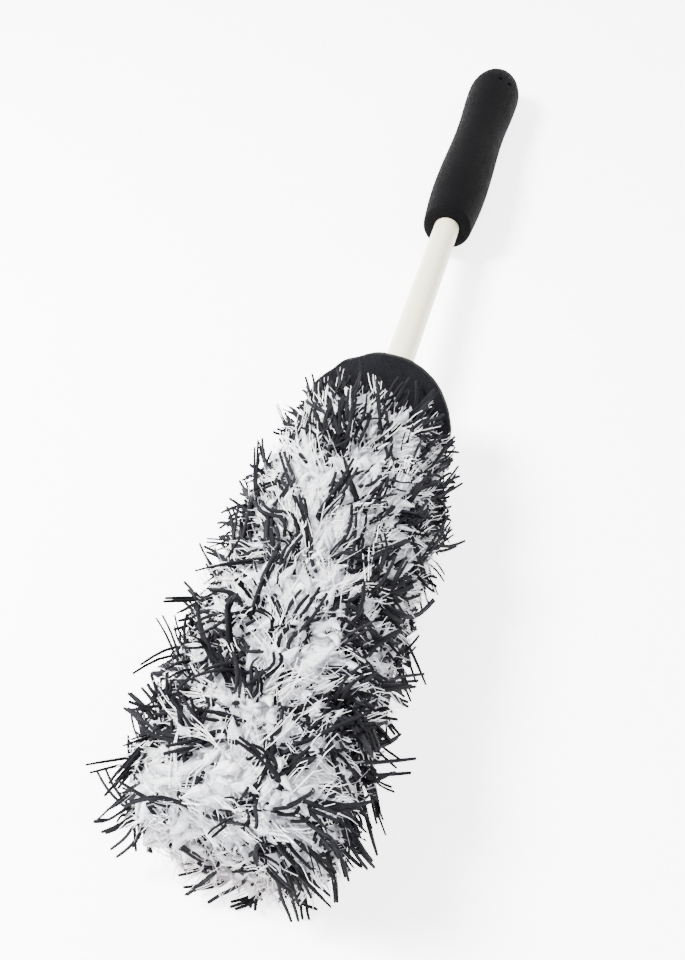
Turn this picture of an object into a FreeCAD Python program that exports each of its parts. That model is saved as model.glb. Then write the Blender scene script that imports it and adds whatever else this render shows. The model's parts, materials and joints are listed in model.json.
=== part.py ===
import FreeCAD, Part
import Sketcher
import math
import os

# Wheel brush: a plastic rod with a soft grip at one end and, at the other, a foam core in a
# removable pile cover, with a foam guard disc leaning on the rod behind the head.
#
# Every piece is drawn in the brush's own frame: +Z runs along the rod from the butt of the grip
# to the tip of the head, and +Y is the upper side. The pieces are then laid down together, the
# tip towards -Y, with the head and the butt resting on the plane Z = 0. Millimetres and degrees.

DRIVING_SIZES = [
    # rod, its places measured from the butt of the grip
    ("rod_diameter", 11.5),
    ("rod_start", 16),
    ("rod_end", 438),
    ("rod_chamfer", 1),
    ("groove_depth", 0.8),
    ("groove_width", 4),
    ("groove_start", 40),
    ("groove_pitch", 32),
    # grip
    ("bulb_diameter", 27.3),
    ("bulb_place", 22),
    ("waist_diameter", 24.5),
    ("waist_place", 66),
    ("swell_diameter", 26.1),
    ("swell_place", 114),
    ("nose_diameter", 22),
    ("grip_length", 152),
    ("nose_round", 2.6),
    ("mouth_diameter", 12.3),
    ("mouth_depth", 7),
    ("pinhole_diameter", 2.4),
    ("pinhole_depth", 3.5),
    ("pinhole_place", 24.8),
    ("pinhole_first", 14),
    ("pinhole_step", 24),
    # guard disc
    ("guard_diameter", 57),
    ("guard_thickness", 5),
    ("guard_place", 290),
    ("guard_lean", 28),
    ("guard_hole_waist", 13.8),
    ("guard_hole_face", 16.8),
    ("guard_axis_height", 26),
    ("guard_gap", 1.2),
    # foam core, its tip pad and the cap on the end of the rod
    ("core_diameter", 38),
    ("core_start", 309),
    ("core_end", 441),
    ("pad_end", 452.7),
    ("pad_round", 11.5),
    ("cap_diameter", 17),
    ("cap_start", 430),
    ("cap_round", 1.5),
    # cover: knitted backing, end panel, neck hem with its elastic, and the pile
    ("cover_gap", 0.3),
    ("backing_thickness", 1.2),
    ("panel_start", 440),
    ("hem_start", 301.6),
    ("hem_radius", 9.4),
    ("hem_shoulder", 308.2),
    ("channel_thickness", 3.8),
    ("elastic_thickness", 2.2),
    ("elastic_ring_diameter", 16.4),
    ("elastic_place", 301),
    ("pile_diameter", 70),
    ("pile_start", 302),
    ("pile_end", 465),
    ("pile_round", 12),
]
GROOVE_COUNT = 3
PINHOLE_COUNT = 2
STATIONS_PER_WAVE = 4  # lofted sections between two turning points of the grip's outline

doc = FreeCAD.newDocument("wheel_brush")
sheet = doc.addObject("Spreadsheet::Sheet", "Sizes")


def fill_sheet():
    for row, (alias, value) in enumerate(DRIVING_SIZES, start=1):
        sheet.set("A%d" % row, alias)
        sheet.set("B%d" % row, str(value))
        sheet.setAlias("B%d" % row, alias)
    doc.recompute()


def size(alias):
    return float(getattr(sheet, alias))


# ---- small helpers for primitives, bodies and sketches


def primitive(kind, name, along=None, **expressions):
    """A Part primitive whose sizes, and whose place along the rod, follow the sheet."""
    item = doc.addObject("Part::" + kind, name)
    for prop, expression in expressions.items():
        item.setExpression(prop, expression)
    if along is not None:
        item.setExpression("Placement.Base.z", along)
    return item


def cylinder(name, diameter, start, end):
    return primitive(
        "Cylinder", name, along=start, Radius="(%s) / 2" % diameter, Height="%s - %s" % (end, start)
    )


def fuse(name, items):
    result = doc.addObject("Part::MultiFuse", name)
    result.Shapes = items
    return result


def cut(name, base, tool):
    result = doc.addObject("Part::Cut", name)
    result.Base = base
    result.Tool = tool
    return result


def round_edge(name, base, height, radius, fillet):
    """Rounds the one circular edge of a plain solid that lies at this height and radius."""
    doc.recompute()
    index = circular_edge(base.Shape, height, radius)
    result = doc.addObject("Part::Fillet", name)
    result.Base = base
    result.Edges = [(index, fillet, fillet)]
    return result


def circular_edge(shape, height, radius):
    around = 2 * math.pi * radius
    for index, edge in enumerate(shape.Edges, start=1):
        if abs(edge.Length - around) < 0.05 and abs(edge.CenterOfMass.z - height) < 0.01:
            return index
    raise RuntimeError("no circular edge of radius %.2f at height %.2f" % (radius, height))


def origin_feature(body, role):
    for feature in body.Origin.OriginFeatures:
        if feature.Role == role:
            return feature
    raise RuntimeError("the body's origin has no " + role)


def new_sketch(body, name, role, along=None):
    sketch = body.newObject("Sketcher::SketchObject", name)
    sketch.AttachmentSupport = [(origin_feature(body, role), "")]
    sketch.MapMode = "FlatFace"
    if along is not None:
        sketch.setExpression("AttachmentOffset.Base.z", along)
    return sketch


def circle_sketch(body, name, diameter, along):
    """A circle round the rod's axis, at this place along it."""
    sketch = new_sketch(body, name, "XY_Plane", along)
    radius = float(sketch.evalExpression(diameter)) / 2
    circle = sketch.addGeometry(Part.Circle(FreeCAD.Vector(), FreeCAD.Vector(0, 0, 1), radius))
    sketch.addConstraint(Sketcher.Constraint("Coincident", circle, 3, -1, 1))
    across = sketch.addConstraint(Sketcher.Constraint("Diameter", circle, 2 * radius))
    sketch.setExpression("Constraints[%d]" % across, diameter)
    return sketch


def outline_sketch(body, name, corners):
    """A closed outline on the XZ plane: each corner is (distance from the axis, place along it)."""
    sketch = new_sketch(body, name, "XZ_Plane")
    points = []
    for across, along in corners:
        x = float(sketch.evalExpression(across))
        z = float(sketch.evalExpression(along))
        points.append(FreeCAD.Vector(x, z, 0))
    for start, end in zip(points, points[1:] + points[:1]):
        sketch.addGeometry(Part.LineSegment(start, end))
    for line in range(len(points)):
        following = (line + 1) % len(points)
        sketch.addConstraint(Sketcher.Constraint("Coincident", line, 2, following, 1))
    for line, (corner, point) in enumerate(zip(corners, points)):
        bind_corner(sketch, line, "DistanceX", corner[0], point.x, -2)
        bind_corner(sketch, line, "DistanceY", corner[1], point.y, -1)
    return sketch


def bind_corner(sketch, line, kind, expression, value, axis):
    if abs(value) < 1e-9:
        sketch.addConstraint(Sketcher.Constraint("PointOnObject", line, 1, axis))
        return
    constraint = sketch.addConstraint(Sketcher.Constraint(kind, -1, 1, line, 1, value))
    sketch.setExpression("Constraints[%d]" % constraint, expression)


def pad(body, name, sketch, length):
    feature = body.newObject("PartDesign::Pad", name)
    feature.Profile = sketch
    feature.setExpression("Length", length)
    return feature


def pocket(body, name, sketch, depth):
    """Cuts from the sketch towards the tip, and makes sure that it did cut."""
    doc.recompute()
    before = body.Shape.Volume
    feature = body.newObject("PartDesign::Pocket", name)
    feature.Profile = sketch
    feature.Reversed = True
    feature.setExpression("Length", depth)
    doc.recompute()
    if body.Shape.Volume >= before:
        raise RuntimeError(name + " cuts nothing")
    return feature


def revolve(body, name, sketch, kind="Revolution"):
    feature = body.newObject("PartDesign::" + kind, name)
    feature.Profile = sketch
    feature.ReferenceAxis = (sketch, ["V_Axis"])
    feature.Angle = 360
    return feature


def fillet_body(body, name, edges, radius):
    """Rounds circular edges of a body, each given as (place along the axis, radius)."""
    doc.recompute()
    base = body.Tip
    names = ["Edge%d" % circular_edge(base.Shape, *edge) for edge in edges]
    feature = body.newObject("PartDesign::Fillet", name)
    feature.Base = (base, names)
    feature.setExpression("Radius", radius)
    return feature


# ---- the pieces


def make_shaft_rod():
    """One plastic rod; ring grooves near its start lock the grip that is moulded over it."""
    body = doc.addObject("PartDesign::Body", "shaft_rod")
    section = circle_sketch(body, "rod_section", "Sizes.rod_diameter", "Sizes.rod_start")
    blank = pad(body, "rod_pad", section, "Sizes.rod_end - Sizes.rod_start")
    doc.recompute()
    ends = [
        "Edge%d" % circular_edge(blank.Shape, size(place), size("rod_diameter") / 2)
        for place in ("rod_start", "rod_end")
    ]
    chamfer = body.newObject("PartDesign::Chamfer", "rod_ends")
    chamfer.Base = (blank, ends)
    chamfer.setExpression("Size", "Sizes.rod_chamfer")
    outer = "Sizes.rod_diameter / 2 + 1"
    inner = "Sizes.rod_diameter / 2 - Sizes.groove_depth"
    start = "Sizes.groove_start"
    end = "Sizes.groove_start + Sizes.groove_width"
    corners = [(inner, start), (outer, start), (outer, end), (inner, end)]
    ring = revolve(body, "groove", outline_sketch(body, "groove_outline", corners), "Groove")
    doc.recompute()
    pattern = body.newObject("PartDesign::LinearPattern", "grooves")
    pattern.Originals = [ring]
    pattern.Direction = (origin_feature(body, "Z_Axis"), [""])
    pattern.Occurrences = GROOVE_COUNT
    pattern.setExpression("Length", "Sizes.groove_pitch * %d" % (GROOVE_COUNT - 1))
    body.Tip = pattern
    return body


def grip_stations():
    """Diameter and place of each lofted section: half cosine waves between the turning points."""
    turning = ["bulb", "waist", "swell"]
    stations = []
    for first, second in zip(turning, turning[1:]):
        for step in range(STATIONS_PER_WAVE):
            share = "%d / %d" % (step, STATIONS_PER_WAVE)
            wave = "(1 - cos(180 deg * %s)) / 2" % share
            diameter = "Sizes.{0}_diameter + (Sizes.{1}_diameter - Sizes.{0}_diameter) * " + wave
            place = "Sizes.{0}_place + (Sizes.{1}_place - Sizes.{0}_place) * " + share
            stations.append((diameter.format(first, second), place.format(first, second)))
    for step in range(STATIONS_PER_WAVE + 1):
        share = "%d / %d" % (step, STATIONS_PER_WAVE)
        drop = "(%s) ^ 2" % share
        diameter = "Sizes.swell_diameter + (Sizes.nose_diameter - Sizes.swell_diameter) * " + drop
        place = "Sizes.swell_place + (Sizes.grip_length - Sizes.swell_place) * " + share
        stations.append((diameter, place))
    return stations


def make_grip_sleeve():
    """The soft grip: an egg-shaped butt, a waist, a gentle swell and a rounded nose."""
    sections = [
        primitive("Circle", "grip_section_%02d" % number, along=place, Radius="(%s) / 2" % diameter)
        for number, (diameter, place) in enumerate(grip_stations(), start=1)
    ]
    handle = doc.addObject("Part::Loft", "grip_loft")
    handle.Sections = sections
    handle.Solid = True
    butt = primitive(
        "Ellipsoid",
        "grip_butt",
        along="Sizes.bulb_place",
        Radius1="Sizes.bulb_place",
        Radius2="Sizes.bulb_diameter / 2",
        Radius3="Sizes.bulb_diameter / 2",
    )
    butt.Angle2 = 0  # only the half beyond the widest ring
    outside = fuse("grip_outside", [handle, butt])
    nose = round_edge(
        "grip_nose", outside, size("grip_length"), size("nose_diameter") / 2, size("nose_round")
    )
    bore = cylinder("grip_bore", "Sizes.rod_diameter", "Sizes.rod_start", "Sizes.grip_length + 1")
    mouth_start = "(Sizes.grip_length - Sizes.mouth_depth)"
    mouth = cylinder("grip_mouth", "Sizes.mouth_diameter", mouth_start, "Sizes.grip_length + 1")
    hollows = [bore, mouth] + [make_pinhole(number) for number in range(PINHOLE_COUNT)]
    hollow = cut("grip_hollowed", nose, fuse("grip_hollows", hollows))
    ribs = [make_grip_rib(number) for number in range(GROOVE_COUNT)]
    start_ring = make_rod_start_ring()
    return fuse("grip_sleeve", [hollow, start_ring] + ribs)


def make_pinhole(number):
    """A blind hole in the upper side of the butt, where a pin held the rod in the mould."""
    hole = doc.addObject("Part::Cylinder", "pinhole_%d" % (number + 1))
    hole.setExpression("Radius", "Sizes.pinhole_diameter / 2")
    hole.setExpression("Height", "Sizes.pinhole_depth + 3")
    turn = math.radians(size("pinhole_first") + number * size("pinhole_step"))
    outward = FreeCAD.Vector(math.sin(turn), math.cos(turn), 0)
    floor = size("bulb_diameter") / 2 - size("pinhole_depth")
    base = outward * floor + FreeCAD.Vector(0, 0, size("pinhole_place"))
    hole.Placement = FreeCAD.Placement(base, FreeCAD.Rotation(FreeCAD.Vector(0, 0, 1), outward))
    return hole


def make_grip_rib(number):
    """A ring of grip material that fills one groove of the rod."""
    start = "Sizes.groove_start + Sizes.groove_pitch * %d" % number
    end = start + " + Sizes.groove_width"
    name = "grip_rib_%d" % (number + 1)
    outer = cylinder(name + "_outer", "Sizes.rod_diameter + 1", "(%s)" % start, "(%s)" % end)
    hole = "Sizes.rod_diameter - 2 * Sizes.groove_depth"
    inner = cylinder(name + "_inner", hole, "(%s)" % start, "(%s)" % end)
    return cut(name, outer, inner)


def make_rod_start_ring():
    """The grip also fills the chamfer round the rod's hidden end."""
    end = "(Sizes.rod_start + Sizes.rod_chamfer)"
    outer = cylinder("rod_start_outer", "Sizes.rod_diameter + 1", "Sizes.rod_start", end)
    cone = primitive(
        "Cone",
        "rod_start_cone",
        along="Sizes.rod_start",
        Radius1="Sizes.rod_diameter / 2 - Sizes.rod_chamfer",
        Radius2="Sizes.rod_diameter / 2",
        Height="Sizes.rod_chamfer",
    )
    return cut("rod_start_ring", outer, cone)


def make_guard_disc():
    """A die-cut foam disc; its hole widens to both faces, so that it can tip on the rod."""
    body = doc.addObject("PartDesign::Body", "guard_disc")
    rim = "Sizes.guard_diameter / 2"
    face = "Sizes.guard_hole_face / 2"
    half = "Sizes.guard_thickness / 2"
    corners = [
        (face, "-" + half),
        (rim, "-" + half),
        (rim, half),
        (face, half),
        ("Sizes.guard_hole_waist / 2", "0"),
    ]
    revolve(body, "guard_turn", outline_sketch(body, "guard_outline", corners))
    return body


def make_foam_core():
    """A foam tube on the rod, with a wider seat at its end for the rod's cap."""
    body = doc.addObject("PartDesign::Body", "foam_core")
    section = circle_sketch(body, "core_section", "Sizes.core_diameter", "Sizes.core_start")
    pad(body, "core_pad", section, "Sizes.core_end - Sizes.core_start")
    bore = circle_sketch(body, "core_bore", "Sizes.rod_diameter", "Sizes.core_start")
    pocket(body, "core_bore_cut", bore, "Sizes.core_end - Sizes.core_start")
    seat = circle_sketch(body, "core_seat", "Sizes.cap_diameter", "Sizes.cap_start")
    pocket(body, "core_seat_cut", seat, "Sizes.core_end - Sizes.cap_start")
    return body


def make_rod_end_cap():
    """A plastic cap that keeps the rod's end from pushing through the foam."""
    body = doc.addObject("PartDesign::Body", "rod_end_cap")
    section = circle_sketch(body, "cap_section", "Sizes.cap_diameter", "Sizes.cap_start")
    pad(body, "cap_pad", section, "Sizes.core_end - Sizes.cap_start")
    hollow = circle_sketch(body, "cap_hollow", "Sizes.rod_diameter", "Sizes.cap_start")
    pocket(body, "cap_hollow_cut", hollow, "Sizes.rod_end - Sizes.cap_start")
    edges = [(size("core_end"), size("cap_diameter") / 2)]
    fillet_body(body, "cap_edge", edges, "Sizes.cap_round")
    return body


def make_tip_pad():
    """The round foam pad glued on the end of the core."""
    body = doc.addObject("PartDesign::Body", "tip_pad")
    section = circle_sketch(body, "pad_section", "Sizes.core_diameter", "Sizes.core_end")
    pad(body, "pad_pad", section, "Sizes.pad_end - Sizes.core_end")
    edges = [(size("pad_end"), size("core_diameter") / 2)]
    fillet_body(body, "pad_edge", edges, "Sizes.pad_round")
    return body


BACKING_INSIDE = "(Sizes.core_diameter / 2 + Sizes.cover_gap)"
BACKING_OUTSIDE = "(Sizes.core_diameter / 2 + Sizes.cover_gap + Sizes.backing_thickness)"


def make_cover_backing():
    """The knitted tube that carries the pile."""
    ends = ("Sizes.core_start", "Sizes.panel_start")
    outer = cylinder("backing_outer", BACKING_OUTSIDE + " * 2", *ends)
    inner = cylinder("backing_inner", BACKING_INSIDE + " * 2", *ends)
    return cut("cover_backing", outer, inner)


def make_cover_end_panel():
    """The round panel, drawn over the tip, that closes the tube."""
    body = doc.addObject("PartDesign::Body", "cover_end_panel")
    inside_end = "Sizes.pad_end + Sizes.cover_gap"
    outside_end = "Sizes.pad_end + Sizes.cover_gap + Sizes.backing_thickness"
    corners = [
        (BACKING_INSIDE, "Sizes.panel_start"),
        (BACKING_OUTSIDE, "Sizes.panel_start"),
        (BACKING_OUTSIDE, outside_end),
        ("0", outside_end),
        ("0", inside_end),
        (BACKING_INSIDE, inside_end),
    ]
    revolve(body, "panel_turn", outline_sketch(body, "panel_outline", corners))
    inside = size("pad_end") + size("cover_gap")
    inside_radius = size("core_diameter") / 2 + size("cover_gap")
    thickness = size("backing_thickness")
    inner_edge = [(inside, inside_radius)]
    fillet_body(body, "panel_inner_edge", inner_edge, "Sizes.pad_round + Sizes.cover_gap")
    outer_edge = [(inside + thickness, inside_radius + thickness)]
    outer_round = "Sizes.pad_round + Sizes.cover_gap + Sizes.backing_thickness"
    fillet_body(body, "panel_outer_edge", outer_edge, outer_round)
    return body


def elastic_ring(name, thickness):
    return primitive(
        "Torus",
        name,
        along="Sizes.elastic_place",
        Radius1="Sizes.elastic_ring_diameter / 2",
        Radius2="Sizes.%s / 2" % thickness,
    )


def make_neck_elastic():
    """The elastic: a round cord closed into a ring."""
    body = doc.addObject("PartDesign::Body", "neck_elastic")
    sketch = new_sketch(body, "elastic_section", "XZ_Plane")
    ring_radius = size("elastic_ring_diameter") / 2
    place = size("elastic_place")
    radius = size("elastic_thickness") / 2
    centre = FreeCAD.Vector(ring_radius, place, 0)
    circle = sketch.addGeometry(Part.Circle(centre, FreeCAD.Vector(0, 0, 1), radius))
    bind_centre = sketch.addConstraint(Sketcher.Constraint("DistanceX", -1, 1, circle, 3, ring_radius))
    bind_place = sketch.addConstraint(Sketcher.Constraint("DistanceY", -1, 1, circle, 3, place))
    bind_across = sketch.addConstraint(Sketcher.Constraint("Diameter", circle, 2 * radius))
    sketch.setExpression("Constraints[%d]" % bind_centre, "Sizes.elastic_ring_diameter / 2")
    sketch.setExpression("Constraints[%d]" % bind_place, "Sizes.elastic_place")
    sketch.setExpression("Constraints[%d]" % bind_across, "Sizes.elastic_thickness")
    revolve(body, "elastic_turn", sketch)
    return body


def make_neck_hem():
    """The cover's gathered neck, drawn in behind the core, with a channel for the elastic."""
    body = doc.addObject("PartDesign::Body", "neck_funnel")
    corners = [
        ("Sizes.hem_radius", "Sizes.hem_start"),
        (BACKING_OUTSIDE, "Sizes.hem_shoulder"),
        (BACKING_OUTSIDE, "Sizes.core_start"),
        (BACKING_INSIDE, "Sizes.core_start"),
        ("Sizes.hem_radius", "Sizes.hem_start + Sizes.backing_thickness * 1.2"),
    ]
    revolve(body, "funnel_turn", outline_sketch(body, "funnel_outline", corners))
    channel = elastic_ring("neck_channel", "channel_thickness")
    gathered = fuse("neck_gathered", [body, channel])
    return cut("neck_hem", gathered, elastic_ring("neck_hollow", "elastic_thickness"))


def make_cover_pile(table):
    """The pile as one soft solid, pressed flat where it lies and clear of the leaning guard."""
    outer = cylinder("pile_outer", "Sizes.pile_diameter", "Sizes.pile_start", "Sizes.pile_end")
    rounded = round_edge(
        "pile_rounded", outer, size("pile_end"), size("pile_diameter") / 2, size("pile_round")
    )
    inner_end = size("pad_end") + size("cover_gap") + size("backing_thickness")
    inner = cylinder(
        "pile_inner",
        BACKING_OUTSIDE + " * 2",
        "(Sizes.pile_start - 1)",
        "(Sizes.pad_end + Sizes.cover_gap + Sizes.backing_thickness)",
    )
    inner_radius = size("core_diameter") / 2 + size("cover_gap") + size("backing_thickness")
    inner_round = size("pad_round") + size("cover_gap") + size("backing_thickness")
    cavity = round_edge("pile_cavity", inner, inner_end, inner_radius, inner_round)
    tools = fuse("pile_tools", [cavity, table, make_guard_room()])
    return cut("cover_pile", rounded, tools)


def make_guard_room():
    """The room that the leaning guard takes up, a little larger than the disc."""
    room = primitive(
        "Cylinder",
        "guard_room",
        Radius="Sizes.guard_diameter",
        Height="Sizes.guard_thickness + 2 * Sizes.guard_gap",
    )
    lean = guard_placement()
    back = FreeCAD.Vector(0, 0, -size("guard_thickness") / 2 - size("guard_gap"))
    room.Placement = lean.multiply(FreeCAD.Placement(back, FreeCAD.Rotation()))
    return room


def guard_placement():
    """The disc's centre on the rod, and its lean: the top edge back towards the grip."""
    turn = FreeCAD.Rotation(FreeCAD.Vector(1, 0, 0), -size("guard_lean"))
    return FreeCAD.Placement(FreeCAD.Vector(0, 0, size("guard_place")), turn)


# ---- how the brush lies


def rest_slope():
    """The rod's slope: its axis rises from the butt's widest ring to the guard disc."""
    rise = size("guard_axis_height") - size("bulb_diameter") / 2
    run = size("guard_place") - size("bulb_place")
    return math.asin(rise / run)


def rest_placement(along):
    """Lays the brush down: the rod's +Z turns to -Y, and the egg-shaped butt touches Z = 0."""
    slope = rest_slope()
    across = size("bulb_diameter") / 2 * math.cos(slope)
    lengthwise = size("bulb_place") * math.sin(slope)
    butt_height = math.hypot(across, lengthwise) - size("bulb_place") * math.sin(slope)
    turn = FreeCAD.Rotation(FreeCAD.Vector(1, 0, 0), 90 - math.degrees(slope))
    return FreeCAD.Placement(FreeCAD.Vector(0, along, butt_height), turn)


def make_table():
    """The space below the resting plane, seen from the brush's own frame."""
    width = size("pile_diameter") * 2
    length = size("pile_end") * 2
    table = doc.addObject("Part::Box", "table_space")
    table.setExpression("Length", "Sizes.pile_diameter * 2")
    table.setExpression("Width", "Sizes.pile_end * 2")
    table.setExpression("Height", "Sizes.pile_diameter")
    corner = FreeCAD.Vector(-width / 2, -length, -size("pile_diameter"))
    lying = FreeCAD.Placement(corner, FreeCAD.Rotation())
    table.Placement = rest_placement(0).inverse().multiply(lying)
    return table


def place_along(pieces, shift):
    for piece in pieces:
        own = guard_placement() if piece.Name == "guard_disc" else FreeCAD.Placement()
        piece.Placement = rest_placement(shift).multiply(own)
    doc.recompute()


def lay_down(pieces):
    """Places every piece, with the middle of the whole brush's length over the origin."""
    place_along(pieces, 0)
    boxes = [piece.Shape.optimalBoundingBox(True, False) for piece in pieces]
    middle = (min(box.YMin for box in boxes) + max(box.YMax for box in boxes)) / 2
    place_along(pieces, -middle)


def check_document(pieces):
    for item in doc.Objects:
        if "Invalid" in item.State or "Error" in item.State:
            raise RuntimeError("%s failed: %s" % (item.Name, item.State))
    for piece in pieces:
        shape = piece.Shape
        if shape.isNull() or not shape.isValid() or len(shape.Solids) != 1:
            raise RuntimeError(piece.Name + " is not one valid solid")


def export(pieces):
    os.makedirs("parts", exist_ok=True)
    for piece in pieces:
        piece.Label = piece.Name
        piece.Shape.exportStep(os.path.join("parts", piece.Label + ".step"))


fill_sheet()
pieces = [
    make_shaft_rod(),
    make_grip_sleeve(),
    make_guard_disc(),
    make_foam_core(),
    make_rod_end_cap(),
    make_tip_pad(),
    make_cover_backing(),
    make_cover_end_panel(),
    make_neck_hem(),
    make_neck_elastic(),
    make_cover_pile(make_table()),
]
doc.recompute()
lay_down(pieces)
check_document(pieces)
export(pieces)

print("slope of the rod: %.3f degrees" % math.degrees(rest_slope()))
pivot = pieces[2].Placement.Base
print("guard pivot: %.3f %.3f %.3f mm" % (pivot.x, pivot.y, pivot.z))
for piece in pieces:
    box = piece.Shape.optimalBoundingBox(True, False)
    print(
        "%-16s volume %9.1f  x %7.2f %7.2f  y %8.2f %8.2f  z %7.3f %7.2f"
        % (piece.Name, piece.Shape.Volume, box.XMin, box.XMax, box.YMin, box.YMax, box.ZMin, box.ZMax)
    )
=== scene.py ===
import bmesh
import bpy
import json
import math
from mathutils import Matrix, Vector, noise

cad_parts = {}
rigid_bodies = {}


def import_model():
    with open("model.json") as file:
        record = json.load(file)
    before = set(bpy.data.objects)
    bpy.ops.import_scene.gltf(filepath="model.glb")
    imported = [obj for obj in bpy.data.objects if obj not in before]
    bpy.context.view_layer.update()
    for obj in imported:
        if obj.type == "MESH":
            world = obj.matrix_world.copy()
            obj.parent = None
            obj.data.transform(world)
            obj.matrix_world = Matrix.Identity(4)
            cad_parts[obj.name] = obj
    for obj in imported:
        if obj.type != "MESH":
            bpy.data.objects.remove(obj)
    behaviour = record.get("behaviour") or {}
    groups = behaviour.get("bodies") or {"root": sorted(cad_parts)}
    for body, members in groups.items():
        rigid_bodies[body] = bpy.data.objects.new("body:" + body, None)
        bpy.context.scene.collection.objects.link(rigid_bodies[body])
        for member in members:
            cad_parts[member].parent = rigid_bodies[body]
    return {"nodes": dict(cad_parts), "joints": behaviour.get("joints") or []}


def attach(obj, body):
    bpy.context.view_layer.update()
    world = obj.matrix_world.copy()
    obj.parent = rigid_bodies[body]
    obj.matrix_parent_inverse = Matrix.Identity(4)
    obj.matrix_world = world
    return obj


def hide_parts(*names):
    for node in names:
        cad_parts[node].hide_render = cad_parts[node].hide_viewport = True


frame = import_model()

# nothing from the start-up file stays
for item in list(bpy.data.objects):
    if item.type in ("CAMERA", "LIGHT") or item.name == "Cube":
        bpy.data.objects.remove(item)
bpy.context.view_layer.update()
print("stage: frame loaded")

# where things are: distances are measured along the rod from the guard's pivot, tipward positive

joints = {joint["name"]: joint for joint in frame["joints"]}
pivot = Vector(joints["guard_tip"]["pos_m"])
tipward = Vector(joints["cover_slide"]["axis"]).normalized()
sideways = Vector((1, 0, 0))
upward = sideways.cross(tipward).normalized() * -1
if upward.z < 0:
    upward.negate()

rod = dict(radius=0.00575)
head = dict(
    neck=0.0122,  # where the pile begins
    shoulder=0.019,
    tip=0.175,
    tipInset=0.006,
    backingRadius=0.0205,
    fleeceRadius=0.0268,
    tipRound=0.006,
    neckSlim=0.0045,
    neckRun=0.04,
    floorGap=0.0006,
    shoulderRound=0.0015,
    lumpScale=130.0,
    lumpHeight=0.0014,
)
guard = dict(
    radius=0.0285, thickness=0.005, lean=math.radians(28), edge=0.00035,
    holeWaist=0.0069, holeFace=0.0084,
    slowWander=0.0005, quickWander=0.00012, wornDepth=0.0009, wornNotch=0.0004,
)
facing = (tipward * math.cos(guard["lean"]) + upward * math.sin(guard["lean"])).normalized()


def onBrush(along, radius, angle):
    # angle 0 is the upper side, a quarter turn is the right side
    return pivot + tipward * along + (upward * math.cos(angle) + sideways * math.sin(angle)) * radius


# helpers for node trees


def openSocket(sockets, label):
    for socket in sockets:
        if socket.name == label and socket.enabled:
            return socket
    raise KeyError(label)


def addNode(tree, kind, settings=None, inputs=None):
    node = tree.nodes.new(kind)
    for name, value in (settings or {}).items():
        setattr(node, name, value)
    for label, value in (inputs or {}).items():
        socket = node.inputs[label] if isinstance(label, int) else openSocket(node.inputs, label)
        if isinstance(value, bpy.types.NodeSocket):
            tree.links.new(value, socket)
        else:
            socket.default_value = value
    return node


def calc(tree, operation, first, second=0.0, third=0.0, clamp=False):
    settings = dict(operation=operation, use_clamp=clamp)
    return addNode(tree, "ShaderNodeMath", settings, {0: first, 1: second, 2: third}).outputs[0]


def vec(tree, operation, first, second=None, scale=None):
    inputs = {0: first}
    if second is not None:
        inputs[1] = second
    if scale is not None:
        inputs["Scale"] = scale
    node = addNode(tree, "ShaderNodeVectorMath", dict(operation=operation), inputs)
    return node.outputs["Value"] if operation in ("DOT_PRODUCT", "LENGTH") else node.outputs["Vector"]


def total(tree, vectors):
    result = vectors[0]
    for other in vectors[1:]:
        result = vec(tree, "ADD", result, other)
    return result


def remap(tree, value, low, high, toLow=0.0, toHigh=1.0, smooth=False):
    settings = dict(interpolation_type="SMOOTHSTEP" if smooth else "LINEAR")
    inputs = {"Value": value, "From Min": low, "From Max": high, "To Min": toLow, "To Max": toHigh}
    return addNode(tree, "ShaderNodeMapRange", settings, inputs).outputs["Result"]


def newTree(name, sockets):
    tree = bpy.data.node_groups.new(name, "GeometryNodeTree")
    tree.interface.new_socket("Geometry", in_out="INPUT", socket_type="NodeSocketGeometry")
    for label, kind, value in sockets:
        socket = tree.interface.new_socket(label, in_out="INPUT", socket_type="NodeSocket" + kind)
        if value is not None:
            socket.default_value = value
    tree.interface.new_socket("Geometry", in_out="OUTPUT", socket_type="NodeSocketGeometry")
    return tree, tree.nodes.new("NodeGroupInput").outputs


def storeValues(tree, geometry, rows):
    # writes each named value on the points of the geometry
    for label, kind, value in rows:
        geometry = addNode(
            tree, "GeometryNodeStoreNamedAttribute", dict(data_type=kind, domain="POINT"),
            {"Geometry": geometry, "Name": label, "Value": value},
        ).outputs[0]
    return geometry


def finishTree(tree, geometry, material):
    solid = addNode(tree, "GeometryNodeRealizeInstances", None, {"Geometry": geometry})
    coloured = addNode(
        tree, "GeometryNodeSetMaterial", None, {"Geometry": solid.outputs[0], "Material": material}
    )
    output = tree.nodes.new("NodeGroupOutput")
    tree.links.new(coloured.outputs[0], output.inputs[0])


def runTree(name, tree, carrier, values):
    # puts the tree on a copy of the carrier and keeps the result as a plain mesh
    worker = bpy.data.objects.new(name + ".worker", carrier)
    bpy.context.scene.collection.objects.link(worker)
    modifier = worker.modifiers.new("grow", "NODES")
    modifier.node_group = tree
    for item in tree.interface.items_tree:
        if item.item_type == "SOCKET" and item.in_out == "INPUT" and item.name in values:
            modifier[item.identifier] = values[item.name]
    graph = bpy.context.evaluated_depsgraph_get()
    mesh = bpy.data.meshes.new_from_object(worker.evaluated_get(graph), depsgraph=graph)
    worker.modifiers.remove(modifier)
    bpy.data.objects.remove(worker)
    piece = bpy.data.objects.new(name, mesh)
    mesh.name = name
    bpy.context.scene.collection.objects.link(piece)
    return piece


def objectPlace(tree):
    return addNode(tree, "ShaderNodeTexCoord").outputs["Object"]


def newMaterial(name):
    material = bpy.data.materials.new(name)
    material.use_nodes = True
    tree = material.node_tree
    shader = tree.nodes["Principled BSDF"]
    return material, tree, shader


def setShader(shader, values):
    for label, value in values.items():
        shader.inputs[label].default_value = value


def plugIn(tree, shader, label, socket):
    tree.links.new(socket, shader.inputs[label])


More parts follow.
